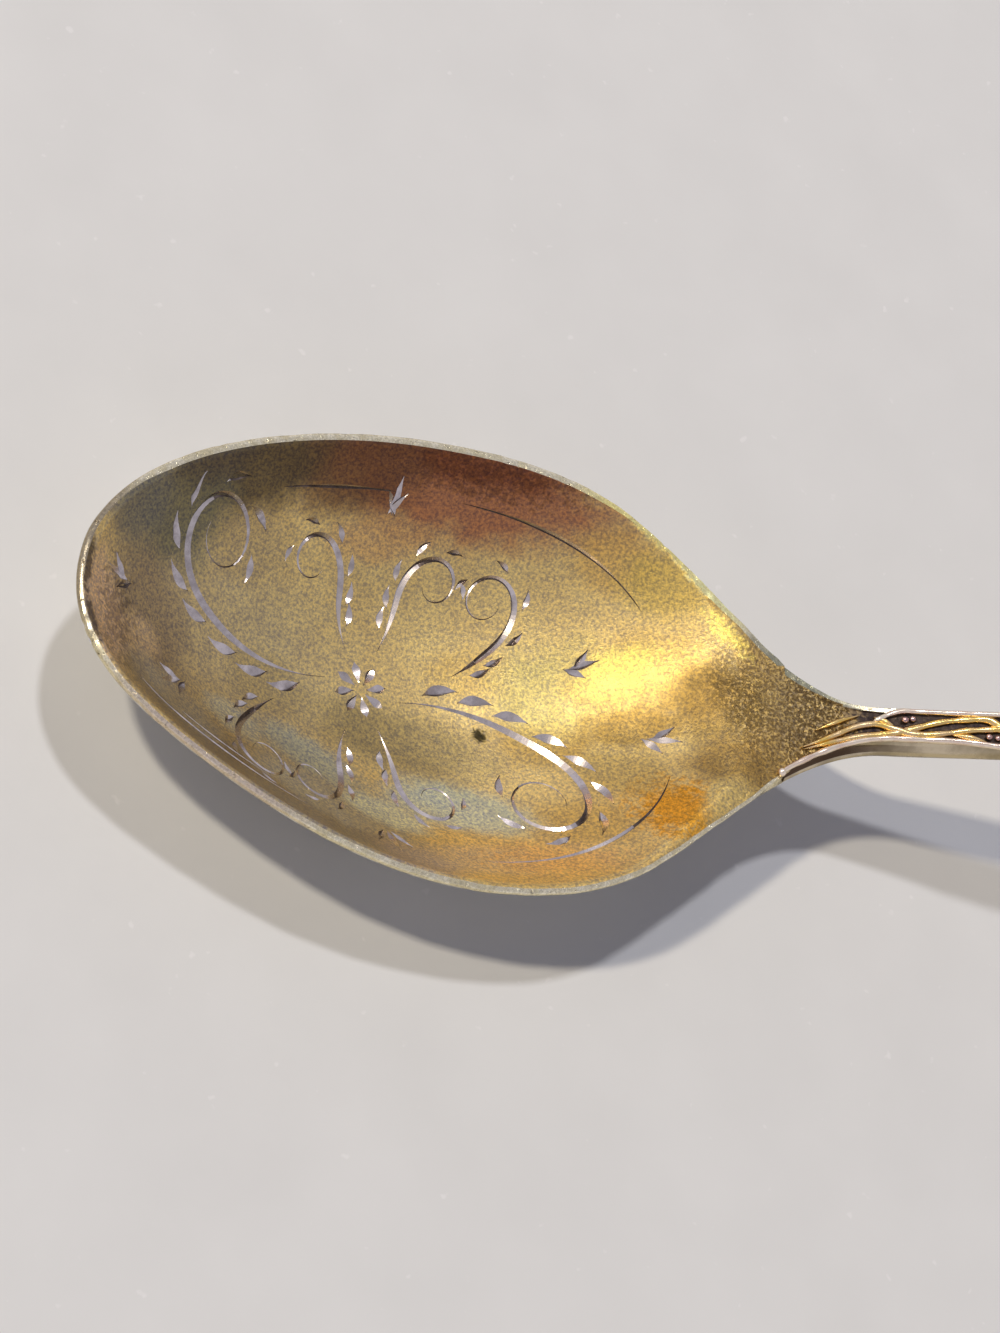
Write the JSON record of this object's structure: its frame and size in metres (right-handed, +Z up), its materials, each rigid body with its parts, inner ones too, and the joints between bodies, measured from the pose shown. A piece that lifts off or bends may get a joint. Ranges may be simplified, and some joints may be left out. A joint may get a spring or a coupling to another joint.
{
  "type": "teaspoon",
  "caption": "Silver teaspoon with an egg-shaped gilded bowl, a lapped joint and a relief stem with raised borders, a crossing vine and a swelling terminal.",
  "frame": {"origin": "on the table, under the middle of the spoon's bounding box", "axes": "+X from the bowl's tip to the handle's end, +Y to the left of someone who looks along +X, +Z up"},
  "size_m": [0.1398, 0.0302, 0.0183],
  "materials": {
    "silver_gilt": "polished silver with a thin gold wash on its rim and shoulders",
    "gilding": "satin gold wash with age patina",
    "silver": "polished silver, oxidised in its recesses",
    "silver_bright": "bright worn silver",
    "vine_gilt": "polished, with remains of gilding",
    "bud_silver": "tarnished silver"
  },
  "bodies": {
    "root": {"bowl": "silver_gilt", "gilding": "gilding", "stem": "silver", "terminal": "silver", "border_near": "silver_bright", "border_far": "silver_bright", "vine": "vine_gilt", "buds": "bud_silver", "blossom": "vine_gilt"}
  },
  "joints": []
}
